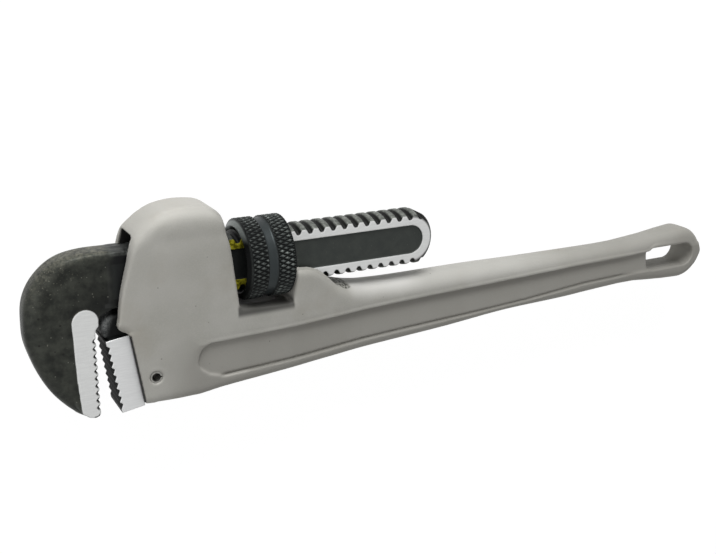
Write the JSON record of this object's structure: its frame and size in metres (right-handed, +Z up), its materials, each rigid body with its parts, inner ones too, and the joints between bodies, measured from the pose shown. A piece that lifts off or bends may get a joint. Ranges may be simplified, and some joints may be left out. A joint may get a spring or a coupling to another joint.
{
  "type": "pipe wrench",
  "caption": "Straight pipe wrench with a sliding hook jaw, knurled adjusting nut, pinned heel jaw and a long handle with a hanging slot.",
  "frame": {"origin": "centre of the outline's box in X and Y at rest, on the surface that the wrench lies on, which touches the adjusting nut's knurled bands", "axes": "+X runs along the handle from the jaws to the hanging slot; +Y runs across it towards the housing's dome; +Z is up, square to the wrench's flat sides"},
  "size_m": [0.3009, 0.0715, 0.0296],
  "materials": {
    "handle": "blasted, satin",
    "hook_jaw": "dark forging with ground strips",
    "heel_jaw": "ground, dark between its teeth",
    "heel_jaw_pin": "plain spring steel",
    "adjusting_nut": "dark, knurled",
    "flat_spring": "blued spring steel",
    "coil_spring": "spring wire"
  },
  "bodies": {
    "handle": {"handle": "handle", "heel_jaw": "heel_jaw", "heel_jaw_pin": "heel_jaw_pin", "coil_spring": "coil_spring"},
    "spring_leaf": {"flat_spring": "flat_spring"},
    "hook_jaw": {"hook_jaw": "hook_jaw"},
    "adjusting_nut": {"adjusting_nut": "adjusting_nut"}
  },
  "joints": [
    {"name": "jaw_rock", "type": "hinge", "parent": "handle", "child": "spring_leaf", "pos_m": [-0.05985, -0.00095, 0.0148], "axis": [0, 0, -1], "range_deg": [0, 4], "stiffness_Nm_per_rad": 8.5, "springref_deg": -5.73, "deforming": ["coil_spring"]},
    {"name": "jaw_slide", "type": "slide", "parent": "spring_leaf", "child": "hook_jaw", "axis": [-1, 0, 0], "range_m": [0, 0.0555]},
    {"name": "nut_turn", "type": "hinge", "parent": "spring_leaf", "child": "adjusting_nut", "pos_m": [-0.06645, 0.01205, 0.0148], "axis": [1, 0, 0], "range_deg": [0, 4252]}
  ],
  "couplings": [
    {"joint": "nut_turn", "follows": "jaw_slide", "rad_per_m": 1336.8}
  ]
}
